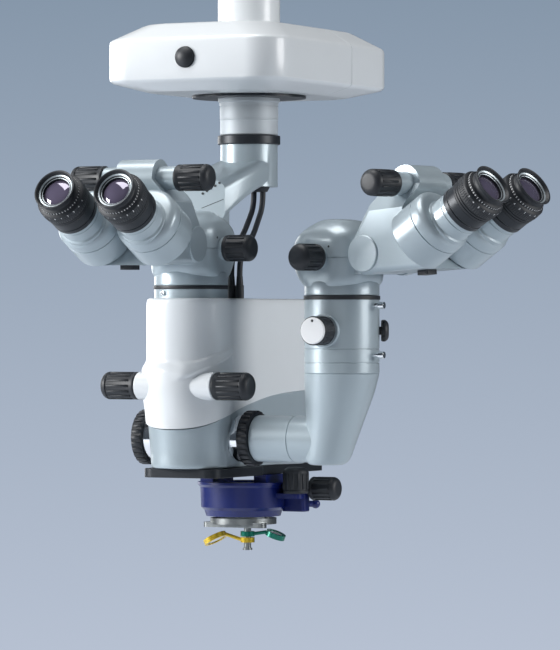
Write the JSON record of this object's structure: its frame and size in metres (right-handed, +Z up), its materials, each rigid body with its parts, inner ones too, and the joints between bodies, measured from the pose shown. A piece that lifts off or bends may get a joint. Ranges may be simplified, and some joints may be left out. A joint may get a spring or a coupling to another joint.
{
  "type": "surgical microscope",
  "caption": "Ceiling-hung surgical microscope with cross-slide coupling, surgeon and side observer binocular tubes, and a swing-in viewing lens carrier under the head.",
  "frame": {"origin": "centre of the ceiling column's top face", "axes": "+Z up along the column, -Y towards the surgeon, +X towards the side observer"},
  "size_m": [0.4713, 0.4771, 0.568],
  "materials": {
    "white_paint": "fine satin lacquer",
    "silver_paint": "metallic satin lacquer",
    "cast_aluminium": "fine blasted and lacquered",
    "turned_steel": "turned and polished",
    "chrome": "polished",
    "black_anodised": "satin black anodised",
    "black_rubber": "matt",
    "black_plastic": "fine textured",
    "blue_plastic": "polished",
    "white_cap": "smooth",
    "coated_glass": "purple coated",
    "clear_glass": "clear",
    "yellow_anodised": "yellow anodised",
    "green_anodised": "green anodised",
    "ground_steel": "ground"
  },
  "bodies": {
    "ceiling_mount": {"column": "white_paint", "coupling_housing": "white_paint", "coupling_end_cap": "white_paint", "x_rails": "ground_steel"},
    "centring_button": {"centring_button": "black_plastic"},
    "x_slide": {"x_carriage": "cast_aluminium"},
    "y_slide": {"y_carriage": "black_anodised", "swivel_stub": "turned_steel"},
    "arm": {"clamp_ring": "black_anodised", "carrier_arm": "silver_paint", "cable_grommet": "black_rubber", "cable_a": "black_rubber", "cable_b": "black_rubber"},
    "head": {"cable_plugs": "black_plastic", "body_cover": "white_paint", "body_base": "silver_paint", "tube_seat": "silver_paint", "clamp_screws": "chrome", "objective_lens": "coated_glass", "port_collars": "chrome", "observer_elbow": "silver_paint", "observer_column": "silver_paint", "viewer_plate": "black_anodised", "surgeon_tube_base": "silver_paint"},
    "zoom_drive": {"zoom_knobs": "black_plastic"},
    "left_port_ring": {"left_port_ring": "black_anodised"},
    "right_port_ring": {"right_port_ring": "black_anodised"},
    "splitter_knob": {"splitter_knob": "black_plastic", "splitter_cap": "white_cap"},
    "observer_side_knob": {"observer_side_knob": "black_plastic"},
    "viewer": {"viewer_ring": "blue_plastic"},
    "viewer_lift_knob": {"viewer_lift_knob": "black_plastic"},
    "viewer_side_knob": {"viewer_side_knob": "black_plastic"},
    "lens_carrier": {"lens_carrier": "ground_steel"},
    "swing_lenses": {"yellow_holder": "yellow_anodised", "green_holder": "green_anodised", "viewer_lenses": "clear_glass"},
    "assistant_base": {"assistant_tube_base": "silver_paint"},
    "surgeon_inverter_knob": {"surgeon_inverter_knob": "black_plastic"},
    "surgeon_tilt_head": {"surgeon_tilt_head": "silver_paint"},
    "surgeon_pd_knobs": {"surgeon_pd_knobs": "black_plastic"},
    "surgeon_prism_left": {"surgeon_prism_left": "silver_paint", "surgeon_barrel_left": "black_anodised"},
    "surgeon_diopter_left": {"surgeon_diopter_left": "black_rubber", "surgeon_lens_left": "coated_glass"},
    "surgeon_prism_right": {"surgeon_prism_right": "silver_paint", "surgeon_barrel_right": "black_anodised"},
    "surgeon_diopter_right": {"surgeon_diopter_right": "black_rubber", "surgeon_lens_right": "coated_glass"},
    "assistant_inverter_knob": {"assistant_inverter_knob": "black_plastic"},
    "assistant_tilt_head": {"assistant_tilt_head": "silver_paint"},
    "assistant_pd_knobs": {"assistant_pd_knobs": "black_plastic"},
    "assistant_prism_left": {"assistant_prism_left": "silver_paint", "assistant_barrel_left": "black_anodised"},
    "assistant_diopter_left": {"assistant_diopter_left": "black_rubber", "assistant_lens_left": "coated_glass"},
    "assistant_prism_right": {"assistant_prism_right": "silver_paint", "assistant_barrel_right": "black_anodised"},
    "assistant_diopter_right": {"assistant_diopter_right": "black_rubber", "assistant_lens_right": "coated_glass"}
  },
  "joints": [
    {"name": "x_travel", "type": "slide", "parent": "ceiling_mount", "child": "x_slide", "axis": [1, 0, 0], "range_m": [-0.02, 0.02]},
    {"name": "y_travel", "type": "slide", "parent": "x_slide", "child": "y_slide", "axis": [0, 1, 0], "range_m": [-0.02, 0.02]},
    {"name": "arm_swivel", "type": "hinge", "parent": "y_slide", "child": "arm", "pos_m": [0, 0, -0.16], "axis": [0, 0, 1], "range_deg": [-150, 150]},
    {"name": "focus_travel", "type": "slide", "parent": "arm", "child": "head", "axis": [0, 0, 1], "range_m": [-0.025, 0.025], "deforming": ["cable_a", "cable_b"]},
    {"name": "centring_press", "type": "slide", "parent": "ceiling_mount", "child": "centring_button", "axis": [0, 1, 0], "range_m": [0, 0.002], "stiffness_N_per_m": 400},
    {"name": "zoom_turn", "type": "hinge", "parent": "head", "child": "zoom_drive", "pos_m": [0, -0.15, -0.404], "axis": [1, 0, 0], "continuous": true},
    {"name": "left_ring_turn", "type": "hinge", "parent": "head", "child": "left_port_ring", "pos_m": [-0.058, -0.103, -0.455], "axis": [1, 0, 0], "continuous": true},
    {"name": "right_ring_turn", "type": "hinge", "parent": "head", "child": "right_port_ring", "pos_m": [0.058, -0.103, -0.455], "axis": [1, 0, 0], "continuous": true},
    {"name": "splitter_turn", "type": "hinge", "parent": "head", "child": "splitter_knob", "pos_m": [0.152, -0.14, -0.3505], "axis": [0, -1, 0], "range_deg": [-90, 90]},
    {"name": "side_knob_turn", "type": "hinge", "parent": "head", "child": "observer_side_knob", "pos_m": [0.18738, -0.08525, -0.3505], "axis": [0.8829, 0.4695, 0], "range_deg": [0, 180]},
    {"name": "viewer_slide", "type": "slide", "parent": "head", "child": "viewer", "axis": [0, -1, 0], "range_m": [0, 0.091]},
    {"name": "lens_lift", "type": "slide", "parent": "viewer", "child": "lens_carrier", "axis": [0, 0, -1], "range_m": [0, 0.01]},
    {"name": "lift_knob_turn", "type": "hinge", "parent": "viewer", "child": "viewer_lift_knob", "pos_m": [0.0595, -0.014, -0.515], "axis": [0, 0, 1], "range_deg": [0, 360]},
    {"name": "viewer_side_turn", "type": "hinge", "parent": "viewer", "child": "viewer_side_knob", "pos_m": [0.066, 0.01, -0.5075], "axis": [1, 0, 0], "continuous": true},
    {"name": "lens_swing", "type": "hinge", "parent": "lens_carrier", "child": "swing_lenses", "pos_m": [0.014, -0.03, -0.555], "axis": [0, 0, 1], "range_deg": [-90, 90]},
    {"name": "assistant_swivel", "type": "hinge", "parent": "head", "child": "assistant_base", "pos_m": [0.154, -0.103, -0.316], "axis": [0, 0, 1], "range_deg": [-30, 45]},
    {"name": "surgeon_tilt", "type": "hinge", "parent": "head", "child": "surgeon_tilt_head", "pos_m": [0, -0.177, -0.2677], "axis": [-1, 0, 0], "range_deg": [-25, 35]},
    {"name": "surgeon_inverter_turn", "type": "hinge", "parent": "head", "child": "surgeon_inverter_knob", "pos_m": [0.045, -0.122, -0.2707], "axis": [1, 0, 0], "range_deg": [0, 180]},
    {"name": "surgeon_pd_turn", "type": "hinge", "parent": "surgeon_tilt_head", "child": "surgeon_pd_knobs", "pos_m": [0, -0.22, -0.2057], "axis": [1, 0, 0], "range_deg": [-120, 120]},
    {"name": "surgeon_prism_left_turn", "type": "hinge", "parent": "surgeon_tilt_head", "child": "surgeon_prism_left", "pos_m": [-0.0316, -0.237, -0.2627], "axis": [0, -0.8829, 0.4695], "range_deg": [-40, 40]},
    {"name": "surgeon_diopter_left_turn", "type": "hinge", "parent": "surgeon_prism_left", "child": "surgeon_diopter_left", "pos_m": [-0.0316, -0.23982, -0.268], "axis": [0, -0.8829, 0.4695], "range_deg": [-60, 60]},
    {"name": "surgeon_prism_right_turn", "type": "hinge", "parent": "surgeon_tilt_head", "child": "surgeon_prism_right", "pos_m": [0.0316, -0.237, -0.2627], "axis": [0, -0.8829, 0.4695], "range_deg": [-40, 40]},
    {"name": "surgeon_diopter_right_turn", "type": "hinge", "parent": "surgeon_prism_right", "child": "surgeon_diopter_right", "pos_m": [0.0316, -0.23982, -0.268], "axis": [0, -0.8829, 0.4695], "range_deg": [-60, 60]},
    {"name": "assistant_tilt", "type": "hinge", "parent": "assistant_base", "child": "assistant_tilt_head", "pos_m": [0.20759, -0.11537, -0.2776], "axis": [-0.225, -0.9744, 0], "range_deg": [-30, 30]},
    {"name": "assistant_inverter_turn", "type": "hinge", "parent": "assistant_base", "child": "assistant_inverter_knob", "pos_m": [0.14388, -0.14685, -0.2806], "axis": [-0.225, -0.9744, 0], "range_deg": [0, 180]},
    {"name": "assistant_pd_turn", "type": "hinge", "parent": "assistant_tilt_head", "child": "assistant_pd_knobs", "pos_m": [0.24406, -0.12379, -0.21209], "axis": [0.225, 0.9744, 0], "range_deg": [-120, 120]},
    {"name": "assistant_prism_left_turn", "type": "hinge", "parent": "assistant_tilt_head", "child": "assistant_prism_left", "pos_m": [0.2583, -0.15951, -0.26739], "axis": [0.8172, -0.1887, 0.5446], "range_deg": [-40, 40]},
    {"name": "assistant_diopter_left_turn", "type": "hinge", "parent": "assistant_prism_left", "child": "assistant_diopter_left", "pos_m": [0.26148, -0.16025, -0.27242], "axis": [0.8172, -0.1887, 0.5446], "range_deg": [-60, 60]},
    {"name": "assistant_prism_right_turn", "type": "hinge", "parent": "assistant_tilt_head", "child": "assistant_prism_right", "pos_m": [0.27251, -0.09793, -0.26739], "axis": [0.8172, -0.1887, 0.5446], "range_deg": [-40, 40]},
    {"name": "assistant_diopter_right_turn", "type": "hinge", "parent": "assistant_prism_right", "child": "assistant_diopter_right", "pos_m": [0.2757, -0.09866, -0.27242], "axis": [0.8172, -0.1887, 0.5446], "range_deg": [-60, 60]}
  ],
  "couplings": [
    {"joint": "lift_knob_turn", "follows": "lens_lift", "rad_per_m": 628.32},
    {"joint": "surgeon_prism_left_turn", "follows": "surgeon_pd_turn", "ratio": -0.3333},
    {"joint": "surgeon_prism_right_turn", "follows": "surgeon_pd_turn", "ratio": 0.3333},
    {"joint": "assistant_prism_left_turn", "follows": "assistant_pd_turn", "ratio": -0.3333},
    {"joint": "assistant_prism_right_turn", "follows": "assistant_pd_turn", "ratio": 0.3333}
  ]
}
